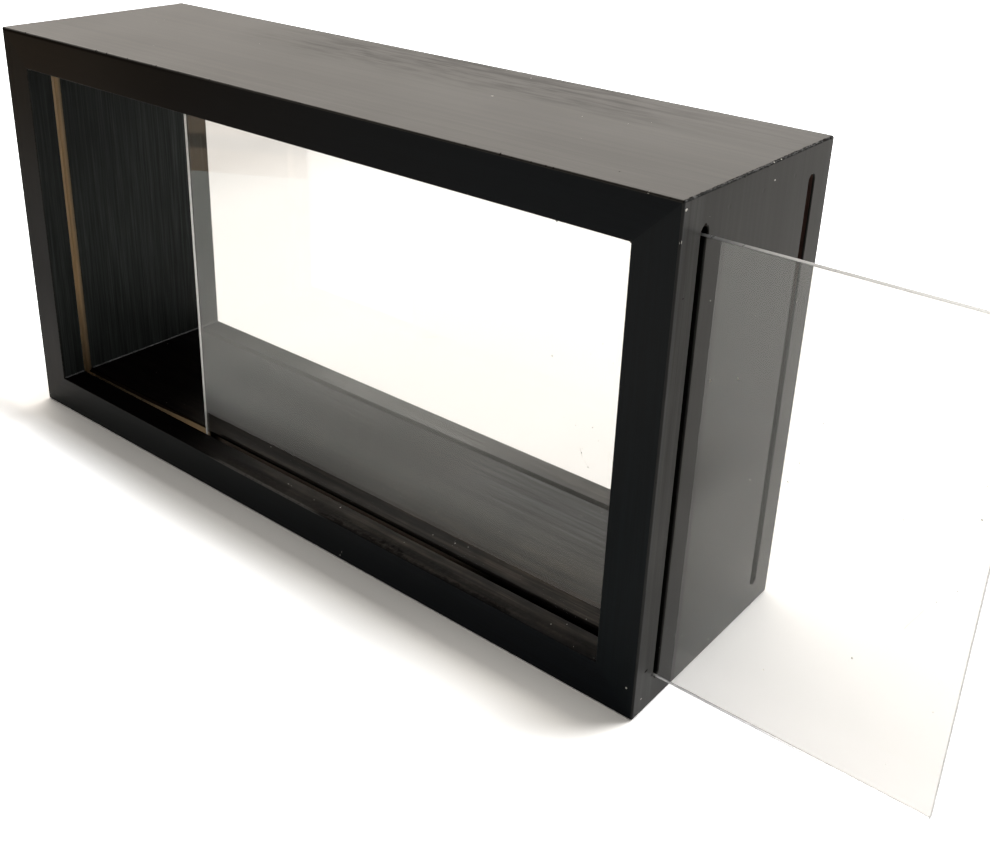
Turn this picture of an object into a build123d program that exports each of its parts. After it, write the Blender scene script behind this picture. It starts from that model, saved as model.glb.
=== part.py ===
# Butterfly display case, open front and rear: four mitred boards, grooved for two clear sheets
# that slide out sideways through slots in the right-hand board.
# Millimetres, +Z up. The origin is the centre of the underside, -Y is the front,
# and +X is the way the sheets slide out.

from build123d import *
import os

# Frame of boards, over the outside faces
case_width = 320.0
case_depth = 90.0
case_height = 170.0
board_thickness = 15.0
corner_round = 0.8
outer_edge_round = 0.5
opening_edge_round = 0.4

# Grooves for the sheets, and the slots that carry on from them
groove_width = 4.0
groove_depth = 5.0
groove_inset = 12.5  # face of the case to the middle of the groove
slot_rim_chamfer = 0.3

# Clear sheets
sheet_thickness = 2.0
sheet_edge_gap = 0.3  # running gap below a sheet, and past its inner end in the left-hand groove
sheet_headroom = 2.3  # free room above a sheet in its upper groove
sheet_end_recess = 2.0  # outer end of a closed sheet, in from the right-hand face
front_sheet_pull = 90.0  # how far the front sheet is drawn out of its closed place

# Brads that pin each mitre, driven in from the sides and filled over
brad_shank_radius = 0.6
brad_head_radius = 1.0
brad_head_thickness = 0.6
brad_length = 25.0
brad_set_depth = 1.2
brads_per_corner = 3
brad_spacing = 20.0

# Levels and places that follow from the sizes above
side_x = case_width / 2
face_y = case_depth / 2
middle_z = case_height / 2
inner_side_x = side_x - board_thickness
inner_bottom = board_thickness
inner_top = case_height - board_thickness
groove_y = face_y - groove_inset
groove_side_x = inner_side_x + groove_depth
groove_bottom = inner_bottom - groove_depth
groove_top = inner_top + groove_depth

sheet_bottom = groove_bottom + sheet_edge_gap
sheet_top = groove_top - sheet_headroom
sheet_closed_left_x = sheet_edge_gap - groove_side_x
sheet_length = side_x - sheet_end_recess - sheet_closed_left_x

# The slots have round ends. Each end runs past the bottom of its groove by the rise of the
# arc across a sheet's thickness, so a sheet keeps the same gap there as in the groove.
slot_radius = groove_width / 2
slot_end_rise = slot_radius - (slot_radius**2 - (sheet_thickness / 2) ** 2) ** 0.5
slot_length = groove_top - groove_bottom + 2 * slot_end_rise

rear_face = Plane.XZ.offset(-face_y)


def mitred_board(outline):
    # The outline of the whole frame with its edges rounded, cut down to one board
    with BuildPart() as board:
        with BuildSketch(rear_face):
            with Locations((0, middle_z)):
                RectangleRounded(case_width, case_height, corner_round)
                Rectangle(2 * inner_side_x, inner_top - inner_bottom, mode=Mode.SUBTRACT)
        extrude(amount=case_depth)
        case_faces = board.faces().filter_by(Axis.Y)
        outer_edges = [edge for face in case_faces for edge in face.outer_wire().edges()]
        inner_wires = [wire for face in case_faces for wire in face.inner_wires()]
        opening_edges = [edge for wire in inner_wires for edge in wire.edges()]
        fillet(outer_edges, outer_edge_round)
        fillet(opening_edges, opening_edge_round)
        with BuildSketch(rear_face):
            with BuildLine():
                Polyline(*outline, close=True)
            make_face()
        extrude(amount=case_depth, mode=Mode.INTERSECT)
    return board.part


def inward_plane(side, depth):
    # A plane at a depth below one side face: side is -1 for the left and 1 for the right
    return Plane(origin=(side * (side_x - depth), 0, middle_z), x_dir=(0, 1, 0), z_dir=(-side, 0, 0))


def brad_columns(side, start, radius, length):
    # One stretch of every brad driven in from a side face: a round column at each place
    with BuildPart() as columns:
        with BuildSketch(inward_plane(side, start)):
            with GridLocations(brad_spacing, case_height - board_thickness, brads_per_corner, 2):
                Circle(radius)
        extrude(amount=length)
    return columns.part


shank_start = brad_set_depth + brad_head_thickness
shank_length = brad_length - brad_head_thickness

with BuildPart() as corner_brads:
    for side in (-1, 1):
        add(brad_columns(side, brad_set_depth, brad_head_radius, brad_head_thickness))
        add(brad_columns(side, shank_start, brad_shank_radius, shank_length))

with BuildPart() as brad_fillers:
    for side in (-1, 1):
        add(brad_columns(side, 0, brad_head_radius, brad_set_depth))

with BuildPart() as top_board:
    add(
        mitred_board(
            [
                (-side_x, case_height),
                (side_x, case_height),
                (inner_side_x, inner_top),
                (-inner_side_x, inner_top),
            ]
        )
    )
    with Locations((0, -groove_y, groove_top), (0, groove_y, groove_top)):
        Box(
            case_width,
            groove_width,
            2 * groove_depth,
            align=(Align.CENTER, Align.CENTER, Align.MAX),
            mode=Mode.SUBTRACT,
        )
    add(corner_brads.part, mode=Mode.SUBTRACT)

with BuildPart() as bottom_board:
    add(
        mitred_board(
            [
                (-side_x, 0),
                (side_x, 0),
                (inner_side_x, inner_bottom),
                (-inner_side_x, inner_bottom),
            ]
        )
    )
    with Locations((0, -groove_y, groove_bottom), (0, groove_y, groove_bottom)):
        Box(
            case_width,
            groove_width,
            2 * groove_depth,
            align=(Align.CENTER, Align.CENTER, Align.MIN),
            mode=Mode.SUBTRACT,
        )
    add(corner_brads.part, mode=Mode.SUBTRACT)

with BuildPart() as left_board:
    add(
        mitred_board(
            [
                (-side_x, 0),
                (-inner_side_x, inner_bottom),
                (-inner_side_x, inner_top),
                (-side_x, case_height),
            ]
        )
    )
    with Locations((-groove_side_x, -groove_y, middle_z), (-groove_side_x, groove_y, middle_z)):
        Box(
            2 * groove_depth,
            groove_width,
            case_height,
            align=(Align.MIN, Align.CENTER, Align.CENTER),
            mode=Mode.SUBTRACT,
        )
    add(corner_brads.part, mode=Mode.SUBTRACT)
    add(brad_fillers.part, mode=Mode.SUBTRACT)

with BuildPart() as right_board:
    add(
        mitred_board(
            [
                (side_x, 0),
                (inner_side_x, inner_bottom),
                (inner_side_x, inner_top),
                (side_x, case_height),
            ]
        )
    )
    with BuildSketch(Plane.YZ.offset(inner_side_x)):
        with Locations((-groove_y, middle_z), (groove_y, middle_z)):
            SlotOverall(slot_length, groove_width, rotation=90)
    extrude(amount=board_thickness, mode=Mode.SUBTRACT)
    outside_face = right_board.faces().sort_by(Axis.X)[-1]
    slot_rims = [edge for wire in outside_face.inner_wires() for edge in wire.edges()]
    chamfer(slot_rims, slot_rim_chamfer)
    add(corner_brads.part, mode=Mode.SUBTRACT)
    add(brad_fillers.part, mode=Mode.SUBTRACT)

with BuildPart() as front_sheet:
    with Locations((sheet_closed_left_x + front_sheet_pull, -groove_y, sheet_bottom)):
        Box(
            sheet_length,
            sheet_thickness,
            sheet_top - sheet_bottom,
            align=(Align.MIN, Align.CENTER, Align.MIN),
        )

with BuildPart() as rear_sheet:
    with Locations((sheet_closed_left_x, groove_y, sheet_bottom)):
        Box(
            sheet_length,
            sheet_thickness,
            sheet_top - sheet_bottom,
            align=(Align.MIN, Align.CENTER, Align.MIN),
        )

pieces = {
    "top_board": top_board,
    "bottom_board": bottom_board,
    "left_board": left_board,
    "right_board": right_board,
    "front_sheet": front_sheet,
    "rear_sheet": rear_sheet,
    "corner_brads": corner_brads,
    "brad_fillers": brad_fillers,
}

os.makedirs("parts", exist_ok=True)
for label, piece in pieces.items():
    piece.part.label = label
    export_step(piece.part, f"parts/{label}.step")
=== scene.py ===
import itertools
import math
from types import SimpleNamespace

import bmesh
import bpy
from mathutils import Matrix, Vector


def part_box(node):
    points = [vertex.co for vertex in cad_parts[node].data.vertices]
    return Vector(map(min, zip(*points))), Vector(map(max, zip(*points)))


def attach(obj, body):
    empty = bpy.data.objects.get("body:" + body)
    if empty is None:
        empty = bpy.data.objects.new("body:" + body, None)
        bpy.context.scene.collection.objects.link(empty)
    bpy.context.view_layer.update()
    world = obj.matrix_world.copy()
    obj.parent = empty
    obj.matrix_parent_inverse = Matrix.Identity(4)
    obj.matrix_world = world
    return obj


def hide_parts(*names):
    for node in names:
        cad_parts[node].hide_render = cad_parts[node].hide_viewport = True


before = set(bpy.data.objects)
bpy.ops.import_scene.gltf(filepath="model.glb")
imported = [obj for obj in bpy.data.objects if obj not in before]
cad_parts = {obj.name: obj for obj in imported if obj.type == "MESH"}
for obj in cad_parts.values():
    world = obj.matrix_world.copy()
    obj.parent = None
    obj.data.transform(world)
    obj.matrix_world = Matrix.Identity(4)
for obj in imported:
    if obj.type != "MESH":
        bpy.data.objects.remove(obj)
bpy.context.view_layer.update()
scene = bpy.context.scene
mm = 0.001  # sizes in the dictionaries are millimetres; Blender works in metres
sideX, faceY, middleZ = 160.0, 45.0, 85.0  # half the case's width, depth and height
openX, openZ = 145.0, 70.0  # half the opening
grooveY, grooveHalf = 32.5, 2.02
print("Loaded the frame:", ", ".join(sorted(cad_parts)))


# Nodes by expression

def mathNode(operation, flip=False):
    # A method of Wire that adds a Math node, with the wire itself first or, flipped, last
    def method(self, *others):
        values = [*others, self] if flip else [self, *others]
        sockets = dict(enumerate(values))
        return Wire.node(self.tree, "ShaderNodeMath", {"operation": operation}, sockets)

    return method


class Wire:
    # One output socket. Arithmetic on it adds Math nodes to the tree it lives in.
    def __init__(self, socket):
        self.socket = socket
        self.tree = socket.id_data

    @staticmethod
    def node(tree, kind, settings=None, sockets=None, out=0):
        # Settings go first, because some of them decide which sockets there are
        made = tree.nodes.new(kind)
        for name, value in (settings or {}).items():
            setattr(made, name, value)
        for name, value in (sockets or {}).items():
            target = made.inputs[name]
            if isinstance(value, Wire):
                tree.links.new(value.socket, target)
            else:
                target.default_value = (*value, 1.0) if target.type == "RGBA" else value
        return Wire(made.outputs[out]) if made.outputs else None

    __add__ = __radd__ = mathNode("ADD")
    __mul__ = __rmul__ = mathNode("MULTIPLY")
    __sub__, __rsub__ = mathNode("SUBTRACT"), mathNode("SUBTRACT", flip=True)
    __truediv__, __rtruediv__ = mathNode("DIVIDE"), mathNode("DIVIDE", flip=True)
    __pow__ = mathNode("POWER")
    __gt__ = mathNode("GREATER_THAN")
    __lt__ = mathNode("LESS_THAN")
    __abs__ = mathNode("ABSOLUTE")
    least = mathNode("MINIMUM")
    most = mathNode("MAXIMUM")

    def rise(self, low, high, bottom=0.0, top=1.0):
        # Turns smoothly from bottom to top as the value goes from low to high
        sockets = {"Value": self, "From Min": low, "From Max": high, "To Min": bottom, "To Max": top}
        return Wire.node(self.tree, "ShaderNodeMapRange", {"interpolation_type": "SMOOTHSTEP"}, sockets)

    def colours(self, first, second, way="MIX"):
        # The first colour where this is nought, the second where it is one
        settings = {"data_type": "RGBA", "blend_type": way}
        return Wire.node(self.tree, "ShaderNodeMix", settings, {0: self, 6: first, 7: second}, 2)

    def shaders(self, first, second):
        return Wire.node(self.tree, "ShaderNodeMixShader", None, {0: self, 1: first, 2: second})

    def times(self, colour):
        # This number times a colour
        sockets = {0: colour, "Scale": self}
        return Wire.node(self.tree, "ShaderNodeVectorMath", {"operation": "SCALE"}, sockets)

    def other(self, name):
        # Another output of the same node
        return Wire(self.socket.node.outputs[name])

    def parts(self):
        # The three numbers of a vector
        apart = Wire.node(self.tree, "ShaderNodeSeparateXYZ", None, {0: self})
        return [apart.other(axis) for axis in "XYZ"]


def startMaterial(name, bands=None, seed=(0, 0, 0)):
    # A new material, with the piece's own coordinates in millimetres as a vector and three numbers
    material = bpy.data.materials.new(name)
    material.use_nodes = True
    tree = material.node_tree
    tree.nodes.clear()
    sockets = {0: Wire.node(tree, "ShaderNodeTexCoord", out="Object"), "Scale": 1000.0}
    vector = Wire.node(tree, "ShaderNodeVectorMath", {"operation": "SCALE"}, sockets)
    x, y, z = vector.parts()
    place = {"vector": vector, "x": x, "y": y, "z": z}
    return SimpleNamespace(material=material, tree=tree, bands=bands, seed=seed, **place)


def closeMaterial(at, surface):
    Wire.node(at.tree, "ShaderNodeOutputMaterial", None, {"Surface": surface})
    return at.material


def spread(at, *names):
    # The product of these bands, each along the axis that ends its name
    total, *others = [getattr(at, name[-1].lower()).rise(*at.bands[name]) for name in names]
    for band in others:
        total = total * band
    return total


def noise(at, stretch, scale, detail, roughness, shift=None):
    # Noise whose lumps are drawn out by the inverse of each stretch factor
    sockets = {"Vector": at.vector, "Location": shift or at.seed, "Scale": stretch}
    place = Wire.node(at.tree, "ShaderNodeMapping", None, sockets)
    sockets = {"Vector": place, "Scale": scale, "Detail": detail, "Roughness": roughness}
    return Wire.node(at.tree, "ShaderNodeTexNoise", None, sockets)


middling = (0.3, 0.7)  # what most of a noise lies between


def bumped(height, strength, distance):
    sockets = {"Height": height, "Strength": strength, "Distance": distance}
    return Wire.node(height.tree, "ShaderNodeBump", None, sockets)


def principled(colour, roughness, bump, others):
    sockets = {"Base Color": colour, "Roughness": roughness, "Normal": bumped(*bump), **others}
    return Wire.node(colour.tree, "ShaderNodeBsdfPrincipled", None, sockets)


def diffuse(tree, colour):
    return Wire.node(tree, "ShaderNodeBsdfDiffuse", None, {"Color": colour})


# Camera, seen from the front right and above

camera = {
    "place": (0.303514, -0.305915, 0.265233),
    "turn": (66.4025, -1.7364, 39.3231),
    "lens": 43.7857,
    "shift": (0.011663, -0.115793),
}
cameraData = bpy.data.cameras.new("camera")
cameraData.lens = camera["lens"]
cameraData.sensor_width = 36
cameraData.shift_x, cameraData.shift_y = camera["shift"]
cameraData.clip_start = 0.01
cameraObject = bpy.data.objects.new("camera", cameraData)
cameraObject.location = camera["place"]
cameraObject.rotation_euler = [math.radians(angle) for angle in camera["turn"]]
scene.collection.objects.link(cameraObject)
scene.camera = cameraObject
scene.view_settings.view_transform = "Standard"
print("Camera set")


# Pale floor and soft light, mostly from behind

floor = {
    "reach": 12.0,  # metres
    "gap": 0.00005,  # metres below the case's underside
    "colour": (0.8, 0.8, 0.8),  # in diffuse light
    "tint": (1.0, 0.988, 0.976),
    # Near the case the floor's white and tint change by place: painted light, shade and reflection
    "glassTint": (0.88, 1.0, 0.92),  # in front of the case, mirrored in the sheets
    "awayTint": (1.0, 1.035, 1.09),  # away from the case, for the camera alone
    "away": (6, 30),
    # White of the floor in each kind of ray, in bands: millimetres from and to along the axis that
    # ends the name, then the white at each
    "glossLeftX": (-300, -150, 0.95, 1.85),
    "glossRightX": (100, 170, 1.0, 0.87),
    # Painted reflection: whiter floor close to the right-hand board, which its gloss mirrors low down
    "glossBesideX": (162, 184, 0.36, 0.0),  # more close to the right-hand board, low down in its gloss
    "glassLeftX": (-420, -300, 0.84, 1.11),
    "glassRightX": (160, 235, 1.01, 0.965),
    "glassFrontY": (-300, -70, 0.62, 0.8),
    # Painted reflection in front of the case, where the sheets mirror it from within: more further out,
    # less on the right
    "frontFrom": -60,
    "frontY": (-220, -150),
    "nearY": (-84, -66, 1.0, 0.7),
    "farY": (-125, -95, 1.36, 1.0),
    "grownLeftX": (-160, -120),
    "grownRightX": (40, 140, 1.0, 0.35),
    "lostFromX": (0, 75),
    "lostToX": (98, 120, 0.45, 0.0),
    "lostY": (-112, -66, 1.0, 0.2),
    # For the camera over one, so that the open floor reads white and its shadows stay
    "toCamera": 1.74,
    # Near the case the camera's white is raised and lowered by place: painted light and shade in its
    # shadow
    "wellInFrontY": (-82, -66, 0.28, 0.0),
    "besideX": (159, 175, 1.0, 0.0),
    "cornerX": (50, 135),
    "cornerY": (-60, -44, 0.62, 0.2),
    "closeFromY": (-60, -53),
    "closeToY": (-52, -45, 1.0, 0.3),
    "closeLeftX": (-130, 10, 0.15, 1.0),
    "closeRightX": (80, 130, 0.26, 0.104),
    "edgeFromY": (-72, -63),
    "edgeToY": (-61, -56, 1.0, 0.0),
    "edgeX": (-10, 60, 0.14, 0.0),
}
sky = {
    "level": 0.036,
    "tint": (1.0, 0.965, 0.9),
    # Soft lights in it: the way to each, how far it reaches (as cosines), strength and tint
    "lights": [
        {"way": (0.28, 0.77, 0.57), "reach": (0.88, 1.0), "level": 7.2, "tint": (1, 1, 1)},
        {"way": (-0.83, 0.0, 0.56), "reach": (0.32, 1.0), "level": 0.6, "tint": (1, 0.97, 0.91)},
        {"way": (0.05, 0.96, 0.26), "reach": (0.55, 0.98), "level": 1.35, "tint": (1, 0.97, 0.93)},
        {"way": (-0.66, 0.72, 0.25), "reach": (0.5, 0.92), "level": 1.62, "tint": (1, 0.925, 0.84)},
    ],
}
card = {
    "colour": (0.3, 0.225, 0.155),
    "stripe": (0.02, 0.018, 0.016),
    "stripeShare": 0.7,
    "stripeFromZ": (16, 19),
    "stripeToZ": (27, 30, 1.0, 0.0),
    "near": (-0.3213, -0.3344),  # metres: where it ends on the floor
    "far": (-1.1213, 0.1156),
    "height": 0.35,
}


def rays(tree, *kinds):
    # One for rays of these kinds
    paths = Wire.node(tree, "ShaderNodeLightPath")
    total, *others = [paths.other("Is " + kind + " Ray") for kind in kinds]
    for kind in others:
        total = total.most(kind)
    return total


def floorFinish():
    # Each kind of ray meets its own white, and the object's shadow falls on all of them
    at = startMaterial("floor_finish", floor)
    tree, x, y = at.tree, at.x, at.y
    # Painted reflection: the white in gloss and through glass is raised and lowered by place
    ahead = y < floor["frontFrom"]
    mirrored = spread(at, "frontY") * ahead
    grown = (spread(at, "nearY", "farY") - 1) * mirrored
    grown = grown * spread(at, "grownLeftX", "grownRightX") + 1
    grown = grown * (1 - spread(at, "lostFromX", "lostToX", "lostY") * mirrored)

    beside = spread(at, "glossBesideX") * (x > sideX - 2) * (y > -faceY)
    inGloss = spread(at, "glossLeftX", "glossRightX") * (beside + 1) * grown

    # Through glass, what the sheets mirror from in front is told by its bounce
    paths = Wire.node(tree, "ShaderNodeLightPath")
    bounces = paths.other("Ray Depth") - paths.other("Transmission Depth")
    inFront = ahead * (bounces > 0.5)
    behind = spread(at, "glassLeftX", "glassRightX") * (1 - inFront)
    throughGlass = behind + inFront * spread(at, "glassFrontY") * grown

    # Painted light and shade in the case's shadow, for the camera alone
    byCorner = spread(at, "besideX", "cornerX", "cornerY")
    closeBy = spread(at, "closeFromY", "closeToY", "closeLeftX", "closeRightX")
    edge = spread(at, "edgeFromY", "edgeToY", "edgeX")
    toCamera = (spread(at, "wellInFrontY") + byCorner + closeBy - edge + 1) * floor["toCamera"]
    away = (abs(x) - sideX).most(abs(y) - faceY).rise(*floor["away"])

    tint = floor["tint"]
    inGloss = inGloss.times(tint)
    throughGlass = inFront.colours(throughGlass.times(tint), floor["glassTint"], "MULTIPLY")
    toCamera = away.colours(toCamera.times(tint), floor["awayTint"], "MULTIPLY")
    colour = rays(tree, "Glossy").colours(floor["colour"], inGloss)
    colour = rays(tree, "Transmission").colours(colour, throughGlass)
    colour = rays(tree, "Camera").colours(colour, toCamera)
    return closeMaterial(at, diffuse(tree, colour))


def stagePlane(name, corners, material):
    mesh = bpy.data.meshes.new(name)
    mesh.from_pydata(corners, [], [(0, 1, 2, 3)])
    mesh.materials.append(material)
    plane = bpy.data.objects.new(name, mesh)
    scene.collection.objects.link(plane)
    return plane


def makeFloor():
    reach = floor["reach"]
    corners = [(-reach, -reach), (reach, -reach), (reach, reach), (-reach, reach)]
    stagePlane("floor", [(*corner, -floor["gap"]) for corner in corners], floorFinish())


def makeCard():
    # A brown card in front and to the left, which only the clear sheets and the paint's gloss meet
    at = startMaterial("card_finish", card)
    stripe = spread(at, "stripeFromZ", "stripeToZ") * card["stripeShare"]
    tone = stripe.colours(card["colour"], card["stripe"])
    closeMaterial(at, diffuse(at.tree, tone))
    near, far, height = card["near"], card["far"], card["height"]
    corners = [(*far, 0), (*near, 0), (*near, height), (*far, height)]
    plane = stagePlane("card", corners, at.material)
    plane.visible_camera = False
    plane.visible_diffuse = False
    plane.visible_shadow = False


def makeSky():
    world = bpy.data.worlds.new("studio")
    scene.world = world
    world.use_nodes = True
    tree = world.node_tree
    tree.nodes.clear()

    def glow(tint, level):
        sockets = {"Color": tint, "Strength": level}
        return Wire.node(tree, "ShaderNodeBackground", None, sockets)

    way = Wire.node(tree, "ShaderNodeTexCoord", out="Generated")
    total = glow(sky["tint"], sky["level"])
    for light in sky["lights"]:
        sockets = {0: way, 1: Vector(light["way"]).normalized()}
        towards = Wire.node(tree, "ShaderNodeVectorMath", {"operation": "DOT_PRODUCT"}, sockets, 1)
        lit = glow(light["tint"], towards.rise(*light["reach"], 0.0, light["level"]))
        total = Wire.node(tree, "ShaderNodeAddShader", None, {0: total, 1: lit})
    shown = rays(tree, "Camera", "Transmission")
    surface = shown.shaders(total, glow((1, 1, 1), 1.0))
    Wire.node(tree, "ShaderNodeOutputWorld", None, {"Surface": surface})


makeFloor()
makeCard()
makeSky()
print("Floor and light made")


# Painted boards. Bands are as for the floor. A noise is its stretch, scale, detail and roughness.

boardLook = {
    # Tones of the paint on the outer face, the inner face, and the front and rear from left to
    # right. Bare wood shows in the front groove up to bareTo along X.
    "left_board": {
        "outward": ("x", -1), "face": 145, "stretch": (1, 1, 0.022), "seed": 3.0, "bump": 0.35,
        "deepest": 5.5, "grooveShade": 0.0, "spill": 0.5, "bareTo": 0,
        "outer": (0.0045, 0.0042, 0.0038), "inner": (0.0185, 0.021, 0.02),
        "left": (0.0042, 0.004, 0.0036), "right": (0.0042, 0.004, 0.0036),
        "stainFront": (0.012, 0.006, 0.004), "stainRear": (0.008, 0.005, 0.004),
        "ribs": ((1, 1, 0.022), 1.05, 3.0, 0.7),  # on its inner face
        "ribTones": (0.33, 0.68, 0.66, 1.38),
        "ribsZ": (15, 75, 0.55, 1.0),
        # Painted shade on the bare wood in its groove
        "litDeep": (0.0, 3.4, 0.3, 1.0),
        "litZ": (18, 60, 0.62, 1.0),
    },
    "right_board": {
        "outward": ("x", 1), "face": 145, "stretch": (1, 1, 0.022), "seed": 11.0, "bump": 0.3,
        "deepest": 14.4, "grooveShade": 0.75,
        "outer": (0.0125, 0.0127, 0.0112), "inner": (0.004, 0.004, 0.0036),
        "left": (0.0032, 0.0054, 0.007), "right": (0.0032, 0.0054, 0.007),
        "stainFront": (0.0015, 0.0012, 0.001), "stainRear": (0.052, 0.03, 0.025),
        # Painted shade, low down behind the slot
        "darkTone": (0.001, 0.001, 0.001),  # low down behind the slot
        "darkZ": (0, 130, 0.32, 0.0),
        "frontTone": (0.025, 0.0252, 0.024),  # a painted sheen in front of its slot
        "frontY": (-36, -33, 1.0, 0.0),
        "edgeTone": (0.0315, 0.032, 0.0325),  # a lighter band down its front, a painted sheen
        "edgeY": (-44.2, -42.6, 1.0, 0.0),
        "grainZ": (10, 150, 1.25, 0.65),  # painted shade on the board's front: lighter low down, darker high up
        # Painted shade: its slots darker low down, and a dimmer patch behind the front slot
        "stainZ": (60, 150, 0.12, 1.0),
        "slotMattZ": (70, 140, 0.7, 0.0),
        "faceMattY": (-20, -5, 1.0, 0.0),
        "faceMattFromZ": (12, 50),
        "faceMattToZ": (90, 150, 0.13, 0.0),
        "rimShare": 0.5,  # how strong the painted highlight is on the chamfer along the front slot
    },
    "top_board": {
        "outward": ("z", 1), "face": 155, "stretch": (0.022, 1, 1), "seed": 23.0, "bump": 0.1,
        "deepest": 5.5, "grooveShade": 0.0,
        "outer": (0.02, 0.0175, 0.0145), "inner": (0.003, 0.0026, 0.0022),
        "left": (0.005, 0.0034, 0.0022), "right": (0.0026, 0.0044, 0.006),
        "stainFront": (0.01, 0.006, 0.004), "stainRear": (0.01, 0.006, 0.004),
        "frontTone": (0.038, 0.035, 0.031),
        "frontY": (-45, -12, 0.85, 0.0),
        "fadingX": (-100, 60, 1.0, 0.0),
        # Painted shade below the front arris and along the front
        "arrisMattZ": (168.2, 168.9, 0.0, 0.7),
        "frontMattX": (-110, -50, 0.0, 0.28),
        "paleY": (-44.2, -43.6, 0.8, 0.0),
        "brushed": ((0.12, 0.9, 1), 0.3, 4.0, 0.62),
        "dullFromX": (-105, -30),
        "dullToX": (80, 140, 1.0, 0.3),
        "dullY": (0, 28),
        "rearMattY": (44.0, 44.5, 0.0, 0.6),
    },
    "bottom_board": {
        "outward": ("z", -1), "face": -15, "stretch": (0.022, 1, 1), "seed": 37.0, "bump": 0.25,
        "deepest": 5.5, "grooveShade": 0.92, "spill": 2.5, "bareTo": -60,
        "outer": (0.004, 0.0038, 0.0034), "inner": (0.0014, 0.0013, 0.0012),
        "left": (0.0034, 0.005, 0.0058), "right": (0.0036, 0.0056, 0.0084),
        "stainFront": (0.004, 0.003, 0.0025), "stainRear": (0.006, 0.004, 0.003),
        # Its inner face
        "streaks": ((0.03, 1, 1), 0.6, 3.0, 0.6),
        "blotches": ((0.16, 0.5, 0.5), 0.55, 4.0, 0.65),
        "brownStreak": (0.05, 0.04, 0.03),
        # Painted shade: the brown streaks grow fainter towards the left
        "brownLipX": (-56, 10, 0.15, 0.55),
        "brownFloorX": (20, 130, 0.4, 1.0),
        # Painted sheen: grey patches on the floor and a paler rear lip
        "greyFloor": (0.052, 0.053, 0.055),
        "greyRightX": (10, 85),
        "greyRightY": (-18, 24),
        "greyLeftX": (-30, 50, 0.5, 0.0),
        "greyLeftY": (8, 28),
        "rearLip": (0.092, 0.096, 0.104),
        "rearLipX": (-60, 130, 1.0, 0.35),
        # A painted highlight along a stretch of its front arris
        "rubbedFromX": (-47, -32),
        "rubbedToX": (11, 26, 1.0, 0.0),
        # Its grooves
        "spillX": (-110, -60),
        "spillFade": 1.5,
        # Painted shade on the bare wood in its groove
        "litX": (-140, -62, 0.26, 0.62),
        "grooveBrown": (0.3, 0.24, 0.19),  # low on the rear wall of the front groove
        "brownFromDeep": (0.75, 1.05),
        "brownToDeep": (2.4, 3.0, 1.0, 0.0),
        "brownFromX": (-58, -50),
        "brownToX": (60, 100, 1.0, 0.0),
        # Painted shade: a black rim along the rear arris of the front groove
        "rimY": (-29.6, -28.8, 0.95, 0.0),
        # Painted shade at the left-hand end of its inner face and on its floor, and black paint lapped
        # along its front
        "lap": 4.5,  # most that the front's black laps over the arris on to it
        "lobes": ((1, 0.02, 0.02), 0.055, 4.0, 0.62),
        "lobesFromX": (0, 40),
        "lobesToX": (95, 135, 1.0, 0.1),
        "lapLeftX": (-56, -30, 0.9, 0.0),
        "thick": (-72, -8, 0.93, 0.0),
        "leftShadeShift": 26,  # further right behind the groove
        "lipY": (-40.2, -37.6, 0.5, 0.0),
        "dullX": (-10, 50, 0.4, 0.0),
        "dullY": (-29, -24),
    },
}
paint = {
    "ior": 1.16,
    "roughness": 0.36,
    "pores": (1.7, 4.0, 0.62),  # scale, detail and roughness, stretched along the grain
    "rings": (0.42, 2.0, 0.55),
    "cloud": ((1, 1, 1), 0.02, 2.0, 0.5),
    "mottle": ((1, 1, 1), 0.9, 3.0, 0.6),
    "frontGrainY": (-44.9, -44.4, 0.5, 1.0),
    "wearAndHighlightTone": (0.05, 0.044, 0.036),  # where the paint is thin along the arrises, and a painted highlight on a slot's chamfer
    # A painted highlight along an arris
    "arrisHighlight": (0.13, 0.125, 0.118),
    "wornReach": 0.9,  # millimetres in from an arris
    "wornShare": 0.22,
    # Near black, for matt paint and for painted shade
    "matt": (0.0004, 0.0003, 0.0004),
}
rawWood = {"pale": (0.93, 0.77, 0.55), "dark": (0.78, 0.63, 0.43), "rim": (0.016, 0.009, 0.007)}
onFace = 14.5  # millimetres out from a board's inner face: more than this is its outer face


def nearArris(at):
    # Distance in from the nearest outer arris, for a point on the outside of the case
    fromX = sideX - abs(at.x)
    fromY = faceY - abs(at.y)
    fromZ = middleZ - abs(at.z - middleZ)
    return fromX.least(fromY).most(fromX.most(fromY).least(fromZ))


def nearOpening(at):
    # Distance from the arris round the front or rear opening
    fromMiddle = abs(at.z - middleZ)
    fromX = abs(abs(at.x) - openX)
    fromZ = abs(fromMiddle - openZ)
    inside = (abs(at.x) < openX + 0.8) * (fromMiddle < openZ + 0.8)
    return abs(abs(at.y) - faceY).most(fromX.least(fromZ)) + (1 - inside) * 50


def leftInside(at, look):
    ribs = noise(at, *look["ribs"]).rise(*look["ribTones"])
    # Darker low down, near the floor: painted shade
    return (ribs * spread(at, "ribsZ")).times(look["inner"])


def bottomInside(at, look):
    # Brown streaks on all of it, fainter to the left as painted shade, and greyer towards the rear and
    # on the rear lip as painted sheen
    streaks = noise(at, *look["streaks"]).rise(0.34, 0.66)
    blotches = noise(at, *look["blotches"]).rise(*middling, 0.35, 1.0)
    onLip = (at.y < -30) * spread(at, "brownLipX")
    onFloor = (abs(at.y) < 30) * spread(at, "brownFloorX")
    brown = (onLip + onFloor + (at.y > 30)) * (streaks * 0.85 + 0.15) * blotches
    tone = brown.colours(look["inner"], look["brownStreak"])
    grey = spread(at, "greyRightX", "greyRightY").most(spread(at, "greyLeftX", "greyLeftY"))
    tone = (grey * (abs(at.y) < 31) * (streaks * 0.9 + 0.55)).colours(tone, look["greyFloor"])
    rear = (at.y > 33) * (brown * 0.5 + 0.4) * spread(at, "rearLipX")
    return rear.colours(tone, look["rearLip"])


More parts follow.
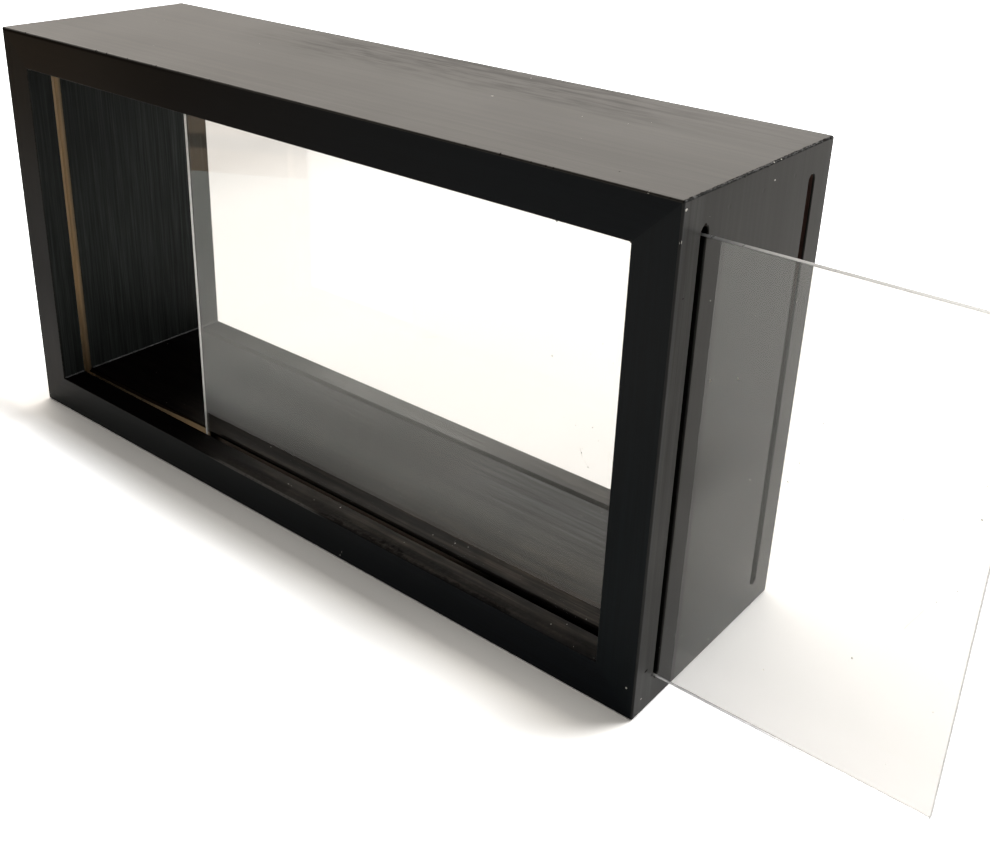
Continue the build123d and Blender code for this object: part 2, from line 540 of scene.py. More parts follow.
def facePaint(at, board, look):
    # The paint's tone on each face, and the grain that shows through it
    across = (at.x * 0.01 + at.cloud * 0.8 - 0.4).rise(-1.3, 1.3)
    tone = across.colours(look["left"], look["right"])
    tone = at.deep.rise(onFace - 0.2, onFace + 0.2).colours(tone, look["outer"])
    inner = look["inner"]
    if board == "left_board":
        inner = leftInside(at, look)
    if board == "bottom_board":
        inner = bottomInside(at, look)
    tone = ((at.deep < 0.45) * (abs(at.y) < 44.8)).colours(tone, inner)
    if board == "right_board":
        # Painted shade: darker low down behind the front slot
        tone = ((at.y > -31) * spread(at, "darkZ")).colours(tone, look["darkTone"])
    # Lighter towards the front; on the right-hand board, in front of its slot, a painted sheen
    if board in ("right_board", "top_board"):
        front = (at.deep > onFace - 0.2) * spread(at, "frontY")
        tone = front.colours(tone, look["frontTone"])
    if board == "right_board":
        # A lighter band down its front: painted sheen
        band = (at.deep > onFace + 0.1) * spread(at, "edgeY")
        tone = band.colours(tone, look["edgeTone"])
    shade = at.pores.rise(*middling, 0.72, 1.35) * at.rings.rise(*middling, 0.82, 1.22)
    shade = (shade - 1) * at.y.rise(*paint["frontGrainY"]) + 1
    if board == "right_board":
        # Painted shade: the board's front lighter low down and darker high up
        shade = shade * (spread(at, "grainZ") - 1) * (at.y < -44.8) + shade
    return shade.times(tone)


def wornPaint(at, board, look, tone):
    # Thin paint along the arrises, and painted highlights: the tone with them, and how strong they are
    opening = nearOpening(at)
    wearAndHighlight = nearArris(at).least(opening).rise(0.15, paint["wornReach"], 1.0, 0.0)
    wearAndHighlight = wearAndHighlight * at.mottle.rise(0.46, 0.6) * paint["wornShare"]
    wearAndHighlight = wearAndHighlight * (1 - (at.x > 158) * (at.y < -43) * 0.75) * (1 - at.topRight * 0.85)
    if board == "bottom_board":
        # A painted highlight along the front arris of the opening
        line = opening.rise(0.3, 1.0, 1.0, 0.0) * at.mottle.rise(0.3, 0.5, 0.3, 1.0)
        line = line * spread(at, "rubbedFromX", "rubbedToX") * (at.y < 0) * (at.deep > -0.6)
        tone = line.colours(tone, paint["arrisHighlight"])
    if board == "right_board":
        # A painted highlight on the chamfer along the front side of the front slot
        rim = (abs(at.y + grooveY + 2.15) < 0.22) * (abs(at.z - middleZ) < 75)
        wearAndHighlight = wearAndHighlight.most(rim * (at.deep > onFace) * look["rimShare"])
    return wearAndHighlight.colours(tone, paint["wearAndHighlightTone"]), wearAndHighlight


def groovePaint(at, board, look, tone):
    # The tone with the grooves, and how dark they are made. They are stained, or bare wood with a rim
    # of paint that has run over the edge; painted shade darkens parts of them.
    front = at.y < 0
    stain = front.colours(look["stainRear"], look["stainFront"])
    if board == "right_board":
        # The stain fades to black low down in the slots: painted shade
        stain = spread(at, "stainZ").times(stain)
    stain = at.pores.rise(*middling, 0.6, 1.5).times(stain)
    if "bareTo" not in look:
        # Painted shade darkens the front slot
        return at.groove.colours(tone, stain), at.groove * front * look["grooveShade"]

    # The bare wood is darkened by place, painted shade: deeper in and lower down on the left-hand board,
    # towards the left on the bottom board
    if board == "left_board":
        spill = look["spill"]
        lit = spread(at, "litZ") * at.deep.rise(*look["litDeep"])
    else:
        spill = at.x.rise(*look["spillX"], look["spill"], look["spill"] - look["spillFade"])
        lit = spread(at, "litX") + (at.x < -143) * 0.3
    bare = at.pores.rise(*middling).colours(rawWood["dark"], rawWood["pale"])
    run = (at.deep + at.mottle * 0.5 - 0.25 - spill).rise(-0.3, 0.25)
    bare = run.colours(rawWood["rim"], lit.times(bare))
    bareShare = (at.x < look["bareTo"]) * front
    # Painted shade darkens the front groove where the sheet stands in it
    matt = at.groove * front * (1 - bareShare) * look["grooveShade"]
    if board == "bottom_board":
        # Brown low on the rear wall of the front groove, under a black rim of painted shade
        wall = (at.y > -31) * front * spread(at, "brownFromX", "brownToX")
        wall = wall * at.deep.rise(*look["brownFromDeep"]) * at.deep.rise(*look["brownToDeep"])
        stain = wall.colours(stain, look["grooveBrown"])
        rim = (at.y > -30.7) * (at.deep < 0.6) * spread(at, "rimY", "brownFromX")
        matt = (matt * (1 - wall)).most(rim)
    return at.groove.colours(tone, bareShare.colours(stain, bare)), matt


def rightShade(at):
    # Painted shade: the rear slot darker low down, and a dimmer patch on the outer face behind the front
    # slot
    onSlot = at.groove * (at.y > 0) * spread(at, "slotMattZ")
    behindSlot = (at.deep > onFace) * (at.y > -30.4)
    return onSlot.most(behindSlot * spread(at, "faceMattY", "faceMattFromZ", "faceMattToZ"))


def topMattAndShade(at, look):
    # Painted shade just below the front arris and along the front towards the right, then matt paint
    # brushed unevenly towards the rear
    below = (at.y < -44.6) * (at.z < 169.6) * spread(at, "arrisMattZ", "fadingX")
    front = below.most((at.y < -44.9) * spread(at, "frontMattX"))
    brushed = noise(at, *look["brushed"]).rise(0.4, 0.64)
    dull = (brushed * 0.26 + 0.1) * spread(at, "dullFromX", "dullToX", "dullY")
    return front.most((at.deep > onFace) * dull.most(spread(at, "rearMattY")))


def bottomMattAndShade(at, look):
    # Painted shade at the left-hand end of the inner face and on the floor left of the middle, and black
    # paint lapped over its front arris
    lobes = noise(at, *look["lobes"]).rise(*middling)
    reach = lobes * spread(at, "lobesFromX", "lobesToX")
    reach = reach.most(spread(at, "lapLeftX")) * look["lap"]
    lapped = (reach - at.y - faceY).rise(-1.1, 1.1) * at.mottle.rise(0.3, 0.6, 0.32, 0.8)
    # Painted shade, darker towards the left-hand end
    thick = (at.x + (at.y > -31) * look["leftShadeShift"]).rise(*look["thick"])
    lip = spread(at, "lipY") * at.mottle.rise(0.3, 0.6, 0.6, 1.0)
    # Painted shade on the floor left of the middle
    dull = (at.y < 31) * spread(at, "dullX", "dullY")
    onInner = (at.deep < 0.45) * (abs(at.y) < 44.9)
    return onInner * thick.most(lapped).most(lip).most(dull)


def paintedWood(name, board):
    look = boardLook[board]
    seed = look["seed"]
    at = startMaterial(name, look, (seed, seed * 1.7, seed * 0.6))
    at.pores = noise(at, look["stretch"], *paint["pores"])
    at.rings = noise(at, look["stretch"], *paint["rings"])
    at.cloud = noise(at, *paint["cloud"])
    at.mottle = noise(at, *paint["mottle"])
    axis, way = look["outward"]
    at.deep = getattr(at, axis) * way - look["face"]  # out from the board's inner face
    at.topRight = (at.x > 159.48) * (at.z > 169.42)
    inGroove = abs(abs(at.y) - grooveY) < grooveHalf
    at.groove = inGroove * (at.deep > 0.35) * (at.deep < look["deepest"])

    colour, wearAndHighlight = wornPaint(at, board, look, facePaint(at, board, look))
    colour, matt = groovePaint(at, board, look, colour)
    matt = matt.most(at.topRight * at.mottle.rise(0.4, 0.54, 0.0, 0.75))
    if board == "right_board":
        matt = matt.most(rightShade(at))
    if board == "bottom_board":
        matt = matt.most(bottomMattAndShade(at, look))
    if board == "top_board":
        matt = matt.most(topMattAndShade(at, look))
        # A painted highlight along the front of the top, fading to the right
        pale = (at.deep > onFace + 0.1) * spread(at, "paleY", "fadingX")
        colour = pale.colours(colour, paint["arrisHighlight"])

    uneven = at.pores.rise(*middling, -0.03, 0.05) + at.cloud.rise(*middling, -0.03, 0.03) + wearAndHighlight * 0.2
    rough = uneven * (look["bump"] * 3) + at.groove * 0.3 + paint["roughness"]
    bump = (at.pores * 0.6 + at.rings * 0.8, look["bump"], 0.00006)
    surface = principled(colour, rough, bump, {"IOR": paint["ior"]})
    # Black matt paint and painted shade, as one near-black mix over the surface
    return closeMaterial(at, matt.shaders(surface, diffuse(at.tree, paint["matt"])))


boardPaint = {board: paintedWood(board + "_paint", board) for board in boardLook}
for board, material in boardPaint.items():
    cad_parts[board].material_slots[0].material = material
print("Boards painted")


# Trees that make what repeats

def startTree(name, *labels):
    # An empty Geometry Nodes tree, and the wires that come from its named inputs
    tree = bpy.data.node_groups.new(name, "GeometryNodeTree")
    tree.interface.new_socket("Geometry", in_out="INPUT", socket_type="NodeSocketGeometry")
    for label in labels:
        kind = {"Seed": "Int", "Finish": "Material"}.get(label, "Float")
        tree.interface.new_socket(label, in_out="INPUT", socket_type="NodeSocket" + kind)
    tree.interface.new_socket("Geometry", in_out="OUTPUT", socket_type="NodeSocketGeometry")
    entry = Wire.node(tree, "NodeGroupInput")
    return tree, {label: entry.other(label) for label in ["Geometry", *labels]}


def closeTree(geometry, material):
    tree = geometry.tree
    real = Wire.node(tree, "GeometryNodeRealizeInstances", None, {"Geometry": geometry})
    dressed = Wire.node(tree, "GeometryNodeSetMaterial", None, {"Geometry": real, "Material": material})
    Wire.node(tree, "NodeGroupOutput", None, {"Geometry": dressed})
    return tree


def join(*parts):
    joined = Wire.node(parts[0].tree, "GeometryNodeJoinGeometry")
    for part in reversed(parts):
        part.tree.links.new(part.socket, joined.socket.node.inputs[0])
    return joined


def chance(tree, low, high, seed):
    # A random number for each point
    sockets = {2: low, 3: high, "Seed": seed}
    return Wire.node(tree, "FunctionNodeRandomValue", None, sockets, 1)


def xyz(tree, x, y, z):
    return Wire.node(tree, "ShaderNodeCombineXYZ", None, {0: x, 1: y, 2: z})


def lifted(shape, height):
    sockets = {"Geometry": shape, "Translation": xyz(shape.tree, 0, 0, height)}
    return Wire.node(shape.tree, "GeometryNodeTransform", None, sockets)


def moved(shape, offset):
    return Wire.node(shape.tree, "GeometryNodeSetPosition", None, {"Geometry": shape, "Offset": offset})


def named(tree, label, kind="FLOAT"):
    return Wire.node(tree, "GeometryNodeInputNamedAttribute", {"data_type": kind}, {"Name": label})


def facing(tree):
    # Turns Z to the way that each point says
    sockets = {"Vector": named(tree, "way", "FLOAT_VECTOR")}
    return Wire.node(tree, "FunctionNodeAlignRotationToVector", {"axis": "Z"}, sockets)


def standing(points, shape, others):
    sockets = {"Points": points, "Instance": shape, **others}
    return Wire.node(points.tree, "GeometryNodeInstanceOnPoints", None, sockets)


def divided(edges, spacing):
    # Curves along a mesh's edges, with points at this spacing
    path = Wire.node(edges.tree, "GeometryNodeMeshToCurve", None, {"Mesh": edges})
    sockets = {"Curve": path, "Length": spacing}
    return Wire.node(edges.tree, "GeometryNodeResampleCurve", {"mode": "LENGTH"}, sockets)


def pointMesh(name, places, edges=(), **attributes):
    # Points in metres, each with its own values. A value is a number or a direction.
    mesh = bpy.data.meshes.new(name)
    mesh.from_pydata(places, edges, [])
    for label, values in attributes.items():
        isNumber = isinstance(values[0], float)
        layer = mesh.attributes.new(label, "FLOAT" if isNumber else "FLOAT_VECTOR", "POINT")
        for entry, value in zip(layer.data, values):
            setattr(entry, "value" if isNumber else "vector", value)
    return mesh


def pairs(places):
    # Edges between the first and second, the third and fourth, and so on
    return [(i, i + 1) for i in range(0, len(places), 2)]


def grow(name, base, tree, values, body):
    # Runs a tree on a base mesh and keeps the result as a plain piece that rides on a body
    piece = bpy.data.objects.new(name, base)
    scene.collection.objects.link(piece)
    modifier = piece.modifiers.new("tree", "NODES")
    modifier.node_group = tree
    for item in tree.interface.items_tree:
        if item.item_type == "SOCKET" and item.in_out == "INPUT" and item.name in values:
            modifier[item.identifier] = values[item.name]
    graph = bpy.context.evaluated_depsgraph_get()
    result = bpy.data.meshes.new_from_object(piece.evaluated_get(graph), depsgraph=graph)
    piece.modifiers.clear()
    piece.data = result
    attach(piece, body)
    print(name, len(result.polygons), "faces")
    return piece


# Brads and the filler over them, in millimetres

brads = {
    "across": (-20.0, 0.0, 20.0),  # along Y
    "levels": (7.5, 162.5),
    "set": 1.2,
    "headRadius": 1.0,
    "headThickness": 0.6,
    "shankRadius": 0.6,
    "length": 25.0,
    "pointLength": 2.4,
    "steel": (0.58, 0.58, 0.57),
    "spot": (0.3, 0.22, 0.16),
    "fillerSink": 0.03,
}


def bradSteel():
    at = startMaterial("brad_steel")
    drawn = noise(at, (0.08, 1, 1), 6.0, 3.0, 0.6)
    spots = noise(at, (1, 1, 1), 1.6, 3.0, 0.6, (4, 4, 4)).rise(0.5, 0.75)
    colour = (spots * 0.5).colours(brads["steel"], brads["spot"])
    rough = drawn.rise(*middling, 0.26, 0.42) + spots * 0.25
    surface = principled(colour, rough, (drawn, 0.4, 0.00002), {"Metallic": 1.0})
    return closeMaterial(at, surface)


def cylinder(radius, depth, sides, middle, others):
    sockets = {"Vertices": sides, "Radius": radius, "Depth": depth, **others}
    return lifted(Wire.node(depth.tree, "GeometryNodeMeshCylinder", None, sockets), middle)


def bradTree():
    lengths = ["Head radius", "Head thickness", "Shank radius", "Length", "Point length"]
    tree, given = startTree("brads", *lengths, "Finish")
    thickness, shankRadius = given["Head thickness"], given["Shank radius"]
    head = cylinder(given["Head radius"], thickness, 20, thickness * 0.5, {})
    shankLength = given["Length"] - thickness - given["Point length"]
    shank = cylinder(shankRadius, shankLength, 16, shankLength * 0.5 + thickness, {})
    sockets = {
        "Vertices": 4,
        "Radius Top": shankRadius * 0.12,
        "Radius Bottom": shankRadius * 0.98,
        "Depth": given["Point length"],
    }
    point = Wire.node(tree, "GeometryNodeMeshCone", None, sockets)
    brad = join(head, shank, lifted(point, given["Length"] - given["Point length"]))
    return closeTree(standing(given["Geometry"], brad, {"Rotation": facing(tree)}), given["Finish"])


def fillerTree():
    tree, given = startTree("fillers", "Radius", "Depth", "Unevenness", "Finish")
    segments = {"Side Segments": 2, "Fill Segments": 3}
    plug = cylinder(given["Radius"], given["Depth"], 28, given["Depth"] * 0.5, segments)
    # Its outer face sinks a little, more in some places than in others
    x, y, z = Wire.node(tree, "GeometryNodeInputPosition").parts()
    reach = ((x * x + y * y) ** 0.5) / given["Radius"]
    sink = (z < 0.0001) * reach.rise(0.3, 0.95, 1.0, 0.0) * given["Unevenness"]
    plug = moved(plug, xyz(tree, 0, 0, sink))
    return closeTree(standing(given["Geometry"], plug, {"Rotation": facing(tree)}), given["Finish"])


def bradPoints(name, inset):
    places, ways = [], []
    for side, y, z in itertools.product((-1, 1), brads["across"], brads["levels"]):
        places.append(Vector((side * (sideX - inset), y, z)) * mm)
        ways.append((-side, 0, 0))
    return pointMesh(name, places, way=ways)


bradPiece = grow("mitre_brads", bradPoints("brad_points", brads["set"]), bradTree(), {
    "Head radius": brads["headRadius"] * mm,
    "Head thickness": brads["headThickness"] * mm,
    "Shank radius": brads["shankRadius"] * mm,
    "Length": brads["length"] * mm,
    "Point length": brads["pointLength"] * mm,
    "Finish": bradSteel(),
}, "case")
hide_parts("corner_brads")

fillerPiece = grow("painted_fillers", bradPoints("filler_points", 0.0), fillerTree(), {
    "Radius": brads["headRadius"] * mm,
    "Depth": brads["set"] * mm,
    "Unevenness": brads["fillerSink"] * mm,
    "Finish": boardPaint["right_board"],
}, "case")
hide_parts("brad_fillers")


# Beads of glue, painted over, along the inside corners

beads = {
    "inset": 0.12,  # millimetres from the two faces to the middle of the bead
    "radius": 0.42,
    "unevenness": 0.3,
    "spacing": 0.8,
    "runs": [(-44.4, -34.9), (-30.1, 30.1), (34.9, 44.4)],  # along Y, clear of the grooves
    "tone": (0.035, 0.036, 0.037),
    "bareTone": (0.003, 0.003, 0.003),
    "roughness": 0.24,
    "ior": 1.35,
}


def beadPaint():
    at = startMaterial("bead_paint")
    patches = noise(at, (1, 1, 1), 0.35, 3.0, 0.6)
    colour = patches.rise(0.4, 0.62).colours(beads["bareTone"], beads["tone"])
    rough = patches.rise(0.38, 0.6, 0.4, -0.02) + beads["roughness"]
    surface = principled(colour, rough, (patches, 0.3, 0.0001), {"IOR": beads["ior"]})
    return closeMaterial(at, surface)


def threadTree():
    # A thin uneven thread along each of the base's edges
    tree, given = startTree("threads", "Radius", "Unevenness", "Spacing", "Finish")
    path = divided(given["Geometry"], given["Spacing"])
    lumps = Wire.node(tree, "ShaderNodeTexNoise", None, {"Scale": 260.0, "Detail": 2.0}) - 0.5
    thick = given["Radius"] * (lumps * given["Unevenness"] * 4 + 1)
    ring = Wire.node(tree, "GeometryNodeCurvePrimitiveCircle", None, {"Resolution": 10, "Radius": 1.0})
    sockets = {"Curve": path, "Profile Curve": ring, "Scale": thick, "Fill Caps": True}
    tube = Wire.node(tree, "GeometryNodeCurveToMesh", None, sockets)
    smooth = Wire.node(tree, "GeometryNodeSetShadeSmooth", None, {"Geometry": tube})
    return closeTree(smooth, given["Finish"])


def beadPaths():
    places = []
    for x in (beads["inset"] - openX, openX - beads["inset"]):
        for level in (beads["inset"] - openZ, openZ - beads["inset"]):
            for run in beads["runs"]:
                places += [Vector((x, y, middleZ + level)) * mm for y in run]
    return pointMesh("bead_paths", places, pairs(places))


threads = threadTree()
grow("corner_beads", beadPaths(), threads, {
    "Radius": beads["radius"] * mm,
    "Unevenness": beads["unevenness"],
    "Spacing": beads["spacing"] * mm,
    "Finish": beadPaint(),
}, "case")


# Chips in the paint, and specks on it

right, top, front = (1, 0, 0), (0, 0, 1), (0, -1, 0)
topRight, topFront, frontRight = (0.7, 0, 0.7), (0, -0.7, 0.7), (0.7, -0.7, 0)
chips = {
    # Place and width in millimetres, length over width, and the way that each one faces
    "dark": [
        ((160, -39.4, 16.1), 0.7, 2.6, right), ((160, -35.5, 12.1), 0.7, 1.4, right),
        ((160, -33.4, 10.2), 0.9, 1.2, right), ((160, -40.7, 141.6), 0.4, 1.3, right),
        ((133.5, -35.1, 170), 0.4, 1.5, top), ((159.8, 0.8, 169.6), 0.9, 1.4, topRight),
        ((159.8, -12.8, 169.5), 0.8, 1.5, topRight), ((159.7, 38.3, 169.8), 0.9, 2, topRight),
        ((159.8, 42.5, 169.7), 0.9, 1.6, topRight), ((120.4, -44.9, 155.3), 0.6, 2.2, front),
        ((159.9, 33.3, 0.5), 0.8, 1.5, right), ((160, -32.4, 160.5), 0.9, 1.6, right),
    ],
    "pale": [
        ((160, -43.8, 167.4), 0.75, 1.6, right), ((159.8, -44.8, 158.6), 0.65, 1.7, frontRight),
        ((149, -44.8, 169.8), 0.6, 1.5, topFront), ((156.8, -45, 11.3), 0.6, 1.2, front),
        ((160, -40.7, 6), 0.5, 1.6, right), ((54.1, 7.7, 170), 1, 0.7, top),
        ((46.5, 39.3, 170), 0.45, 1.5, top), ((160, 6.5, 164.2), 0.5, 1.5, right),
        ((31.1, -45, 1.8), 0.4, 1.4, front), ((84.7, -44.9, 0.6), 0.35, 1.4, front),
        ((159.8, 4.8, 169.8), 0.4, 1.5, topRight), ((159.8, 9.2, 169.8), 0.4, 1.6, topRight),
        ((32, -45, 3.6), 0.3, 1.6, front), ((-4, -38.2, 15), 0.3, 1.4, top),
        ((-8.7, -7.3, 15), 0.3, 1.3, top), ((-16.3, 10.7, 15), 0.35, 1.2, top),
        ((51.8, -13.7, 15), 0.35, 1.4, top), ((70.3, -24.4, 15), 0.4, 1.2, top),
        ((22.8, -36.4, 15), 0.35, 1.6, top), ((94.2, 20.8, 15), 0.3, 1.5, top),
    ],
    "flatness": 0.16,  # thickness over width
    # Rubbed stretches of arris: their ends, how much of each is chipped, and the way it faces
    "arrises": [
        ((159.45, -44.0, 170.0), (159.45, 44.4, 170.0), 0.6, top),
        ((-159.0, -44.85, 169.85), (159.0, -44.85, 169.85), 0.07, topFront),
        ((159.85, -44.85, 2.0), (159.85, -44.85, 168.0), 0.02, frontRight),
        ((159.8, -43.0, 0.25), (159.8, 43.0, 0.25), 0.1, (0.7, 0, -0.7)),
    ],
    "arrisSpacing": 0.85,
    "arrisSizes": (0.18, 0.55),
    "arrisFlatness": 0.35,
    "dust": {"perSquareMetre": 2600.0, "sizes": (0.1, 0.26), "seed": 21},
    # Flat patches that dust settles on, each with its share of it
    "dusty": [
        ([(-144, -30, 15), (144, -30, 15), (144, 30, 15), (-144, 30, 15)], 1.0),
        ([(-144, -44, 15), (144, -44, 15), (144, -35, 15), (-144, -35, 15)], 1.0),
        ([(160, -44, 2), (160, 44, 2), (160, 44, 168), (160, -44, 168)], 0.25),
        ([(-158, -44, 170), (158, -44, 170), (158, 44, 170), (-158, 44, 170)], 0.15),
    ],
    "dustFlatness": 0.4,
    "darkTone": ((0.014, 0.01, 0.008), (0.003, 0.0025, 0.0025)),
    "paleTone": ((0.8, 0.78, 0.72), (0.42, 0.4, 0.36)),
    "ior": 1.04,
}


def chipFinish(name, tones, roughness):
    at = startMaterial(name)
    grains = noise(at, (1, 1, 1), 3.0, 3.0, 0.6)
    colour = grains.rise(0.35, 0.65).colours(tones[0], tones[1])
    rough = grains.rise(*middling, -0.1, 0.1) + roughness
    surface = principled(colour, rough, (grains, 0.6, 0.0001), {"IOR": chips["ior"]})
    return closeMaterial(at, surface)


def flakes(points, turn, width, length, flatness, seed):
    # A ragged flake on each point, turned by chance about the way that it faces
    tree = points.tree
    flake = Wire.node(tree, "GeometryNodeMeshIcoSphere", None, {"Radius": 0.5, "Subdivisions": 2})
    lumps = Wire.node(tree, "ShaderNodeTexNoise", None, {"Scale": 2.6, "Detail": 2.0}) - 0.5
    sockets = {0: Wire.node(tree, "GeometryNodeInputNormal"), "Scale": lumps * 0.9}
    flake = moved(flake, Wire.node(tree, "ShaderNodeVectorMath", {"operation": "SCALE"}, sockets))
    sockets = {"Euler": xyz(tree, 0, 0, chance(tree, -0.5, 0.5, seed))}
    lean = Wire.node(tree, "FunctionNodeEulerToRotation", None, sockets)
    sockets = {"Rotation": turn, "Rotate By": lean}
    turn = Wire.node(tree, "FunctionNodeRotateRotation", {"rotation_space": "LOCAL"}, sockets)
    scale = xyz(tree, width, width * length, width * flatness)
    return standing(points, flake, {"Rotation": turn, "Scale": scale})


def placedTree():
    tree, given = startTree("placed_chips", "Flatness", "Seed", "Finish")
    width, length = named(tree, "width"), named(tree, "long")
    chipped = flakes(given["Geometry"], facing(tree), width, length, given["Flatness"], given["Seed"])
    return closeTree(chipped, given["Finish"])


scatterLabels = ["Smallest", "Largest", "Flatness", "Seed", "Finish"]


def scattered(points, turn, given, longest):
    # Flakes whose sizes are left to chance
    seed = given["Seed"]
    width = chance(points.tree, given["Smallest"], given["Largest"], seed + 1)
    length = chance(points.tree, *longest, seed + 2)
    return closeTree(flakes(points, turn, width, length, given["Flatness"], seed + 3), given["Finish"])


def arrisTree():
    tree, given = startTree("arris_chips", "Spacing", *scatterLabels)
    whole = chance(tree, 0.0, 1.0, given["Seed"]) > named(tree, "wear")
    sockets = {"Geometry": divided(given["Geometry"], given["Spacing"]), "Selection": whole}
    path = Wire.node(tree, "GeometryNodeDeleteGeometry", {"domain": "POINT"}, sockets)
    return scattered(path, facing(tree), given, (0.7, 2.2))


def dustTree():
    tree, given = startTree("dust", "Density", *scatterLabels)
    sockets = {
        "Mesh": given["Geometry"],
        "Density": given["Density"] * named(tree, "share"),
        "Seed": given["Seed"],
    }
    points = Wire.node(tree, "GeometryNodeDistributePointsOnFaces", None, sockets, "Points")
    return scattered(points, points.other("Rotation"), given, (0.8, 2.0))


def chipPoints(name, marks):
    places, widths, lengths, ways = zip(*marks)
    return pointMesh(
        name,
        [Vector(place) * mm for place in places],
        width=[width * mm for width in widths],
        long=[float(length) for length in lengths],
        way=ways,
    )


def arrisLines():
    places, wear, ways = [], [], []
    for start, end, share, way in chips["arrises"]:
        places += [Vector(start) * mm, Vector(end) * mm]
        wear += [share, share]
        ways += [way, way]
    return pointMesh("arris_lines", places, pairs(places), wear=wear, way=ways)


def settleDust(name, patches, dust, body):
    mesh = bpy.data.meshes.new(name + "_ground")
    places = [Vector(corner) * mm for corners, share in patches for corner in corners]
    mesh.from_pydata(places, [], [tuple(range(i, i + 4)) for i in range(0, len(places), 4)])
    layer = mesh.attributes.new("share", "FLOAT", "POINT")
    for i, entry in enumerate(layer.data):
        entry.value = patches[i // 4][1]
    smallest, largest = dust["sizes"]
    grow(name, mesh, dusting, {
        "Density": dust["perSquareMetre"],
        "Smallest": smallest * mm,
        "Largest": largest * mm,
        "Flatness": chips["dustFlatness"],
        "Seed": dust["seed"],
        "Finish": paleChips,
    }, body)


darkChips = chipFinish("chip_dark", chips["darkTone"], 0.55)
paleChips = chipFinish("speck_pale", chips["paleTone"], 0.6)
placed, dusting = placedTree(), dustTree()
for tone, finish in (("dark", darkChips), ("pale", paleChips)):
    grow("chips_" + tone, chipPoints("points_" + tone, chips[tone]), placed, {
        "Flatness": chips["flatness"],
        "Seed": 5,
        "Finish": finish,
    }, "case")
grow("chips_arris", arrisLines(), arrisTree(), {
    "Spacing": chips["arrisSpacing"] * mm,
    "Smallest": chips["arrisSizes"][0] * mm,
    "Largest": chips["arrisSizes"][1] * mm,
    "Flatness": chips["arrisFlatness"],
    "Seed": 8,
    "Finish": darkChips,
}, "case")
settleDust("dust_case", chips["dusty"], chips["dust"], "case")


# Clear sheets

sheets = {
    "bevel": 0.15,  # millimetres
    "cornerRound": 0.6,
    "cornerSteps": 4,
    "ior": 1.49,
    "polished": {"tint": (0.975, 0.972, 0.962), "clear": 1.0, "inShadow": (0.93, 0.925, 0.915)},
    "sawn": {"tint": (0.9, 0.91, 0.9), "clear": 0.4, "inShadow": (0.62, 0.62, 0.6)},
    "sawnDark": (0.8, 0.81, 0.8),
    "rimX": (168, 240, 0.19, 0.9),  # painted light: dim near the case, bright towards the drawn end
    "edgeGlow": 0.8,  # a painted glow on the inner end, standing for light that the sheet carries there
    "dust": {"perSquareMetre": 1500.0, "sizes": (0.1, 0.24)},
    "specks": [
        ((113.6, 107), 0.4, 1.3), ((219.2, 49.9), 0.4, 1.2), ((193.6, 95.4), 0.35, 1.4),
        ((243.7, 105.3), 0.35, 1.3), ((126.8, 78.2), 0.35, 1.5), ((129.5, 74.2), 0.4, 1.2),
        ((167.1, 116.9), 0.62, 1.3), ((175.3, 120.3), 0.52, 1.2), ((182.7, 91.5), 0.35, 1.3),
    ],
    "scratches": [
        ((126, 79.8), (127.2, 76.9)), ((127.8, 76.2), (129.4, 74.4)), ((60, 96), (67.5, 99)),
        ((-20, 62), (-12, 58.5)), ((205, 121), (214, 118)), ((231, 66), (235, 74)),
    ],
    "scratchWidth": 0.05,
}


def acrylic(name, look, sawn):
    at = startMaterial(name, sheets)
    tree = at.tree
    smudges = noise(at, (1, 1, 1), 0.035, 3.0, 0.55, (7, 3, 1))
    sockets = {
        "Base Color": look["tint"],
        "IOR": sheets["ior"],
        "Transmission Weight": look["clear"],
        "Roughness": smudges.rise(0.45, 0.7, 0.0, 0.025),
    }
    if sawn:
        # Marks of the blade, across the thickness
        blade = noise(at, (1, 0.06, 1), 2.3, 3.0, 0.65)
        marks = blade.rise(*middling).colours(sheets["sawnDark"], look["tint"])
        # Painted light along the sawn edges, and a painted glow on the inner end
        lit = spread(at, "rimX") + (at.x < -50) * (1 - sheets["rimX"][2])
        atInnerEnd = Wire.node(tree, "ShaderNodeNewGeometry", out="Normal").parts()[0] < -0.7
        sockets.update({
            "Base Color": lit.times(marks),
            "Roughness": blade.rise(*middling, 0.26, 0.46),
            "Normal": bumped(blade, 0.5, 0.0001),
            "Emission Color": atInnerEnd.times((1, 1, 1)),
            "Emission Strength": sheets["edgeGlow"],
        })
    glass = Wire.node(tree, "ShaderNodeBsdfPrincipled", None, sockets)
    through = Wire.node(tree, "ShaderNodeBsdfTransparent", None, {"Color": look["inShadow"]})
    surface = rays(tree, "Shadow").shaders(glass, through)
    return closeMaterial(at, rays(tree, "Diffuse").shaders(surface, through))


def sheetOutline(low, high):
    # Round the sheet in X and Z, with its four corners eased
    radius, steps = sheets["cornerRound"] * mm, sheets["cornerSteps"]
    corners = [(high.x, high.z, 0), (low.x, high.z, 90), (low.x, low.z, 180), (high.x, low.z, 270)]
    outline = []
    for x, z, start in corners:
        towards = math.radians(start + 45)
        middleX = x - math.copysign(radius, math.cos(towards))
        middleZ = z - math.copysign(radius, math.sin(towards))
        for step in range(steps + 1):
            angle = math.radians(start + 90 * step / steps)
            outline.append((middleX + radius * math.cos(angle), middleZ + radius * math.sin(angle)))
    return outline


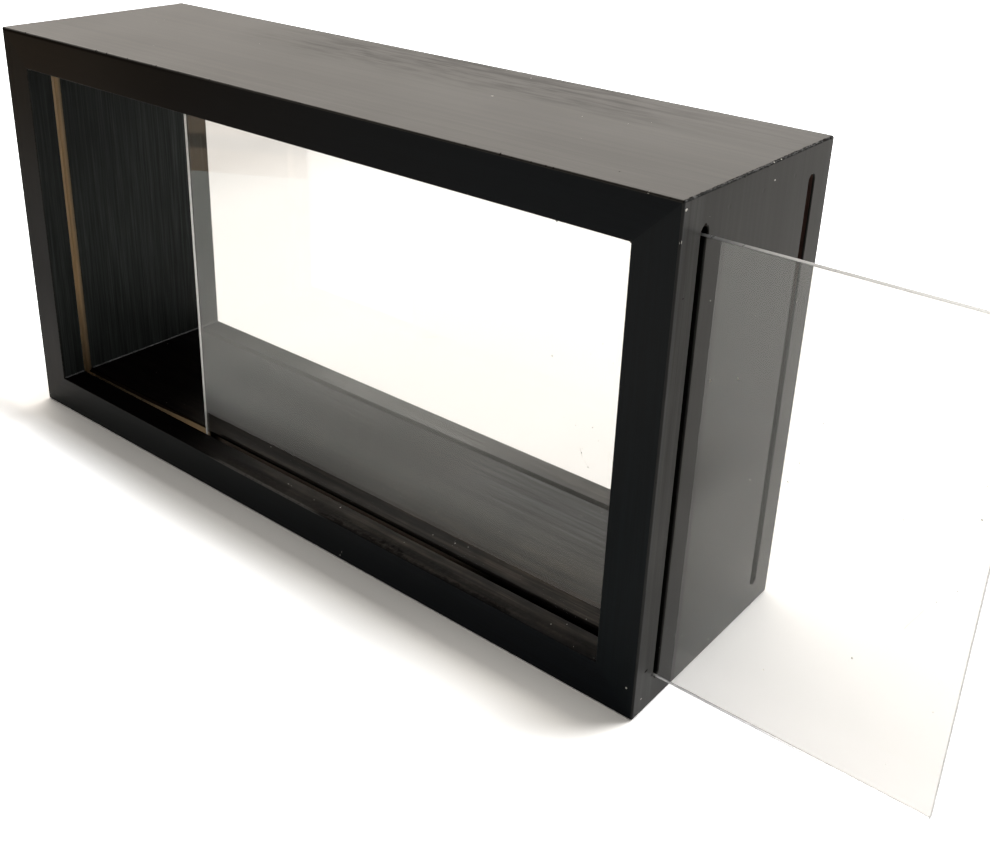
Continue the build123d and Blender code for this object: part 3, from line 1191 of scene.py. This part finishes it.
def cutSheet(name, node):
    low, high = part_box(node)
    shape = bmesh.new()
    ring = [shape.verts.new((x, low.y, z)) for x, z in sheetOutline(low, high)]
    grown = bmesh.ops.extrude_face_region(shape, geom=[shape.faces.new(ring)])
    far = [part for part in grown["geom"] if isinstance(part, bmesh.types.BMVert)]
    bmesh.ops.translate(shape, verts=far, vec=(0, high.y - low.y, 0))
    bmesh.ops.recalc_face_normals(shape, faces=shape.faces)
    rims = [edge for edge in shape.edges if abs(edge.verts[0].co.y - edge.verts[1].co.y) < 1e-6]
    bevel = sheets["bevel"] * mm
    bmesh.ops.bevel(shape, geom=rims, offset=bevel, segments=2, profile=0.6, affect="EDGES")
    for face in shape.faces:
        face.material_index = 0 if abs(face.normal.y) > 0.98 else 1
    mesh = bpy.data.meshes.new(name)
    shape.to_mesh(mesh)
    shape.free()
    mesh.materials.append(acrylic(name + "_polished", sheets["polished"], False))
    mesh.materials.append(acrylic(name + "_sawn", sheets["sawn"], True))
    piece = bpy.data.objects.new(name, mesh)
    scene.collection.objects.link(piece)
    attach(piece, node)
    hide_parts(node)


def sheetPatches(node):
    # Both faces of a sheet, clear of its grooves
    low, high = [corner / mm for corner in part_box(node)]
    left, right, bottom, top = low.x + 1, high.x - 1, low.z + 8, high.z - 8
    outline = [(left, bottom), (right, bottom), (right, top), (left, top)]
    frontFace = [(x, low.y, z) for x, z in outline]
    rearFace = [(x, high.y, z) for x, z in reversed(outline)]
    return [(frontFace, 1.0), (rearFace, 1.0)]


for seed, node in enumerate(("front_sheet", "rear_sheet"), 31):
    cutSheet(node + "_clear", node)
    dust = {**sheets["dust"], "seed": seed}
    settleDust(node + "_dust", sheetPatches(node), dust, node)

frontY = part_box("front_sheet")[0].y / mm
marks = [((x, frontY, z), width, length, front) for (x, z), width, length in sheets["specks"]]
grow("front_sheet_specks", chipPoints("sheet_specks", marks), placed, {
    "Flatness": 0.25,
    "Seed": 9,
    "Finish": paleChips,
}, "front_sheet")
ends = [Vector((x, frontY, z)) * mm for line in sheets["scratches"] for x, z in line]
grow("front_sheet_scratches", pointMesh("scratch_lines", ends, pairs(ends)), threads, {
    "Radius": sheets["scratchWidth"] * 0.5 * mm,
    "Unevenness": 0.4,
    "Spacing": 0.3 * mm,
    "Finish": paleChips,
}, "front_sheet")
print("Sheets made")
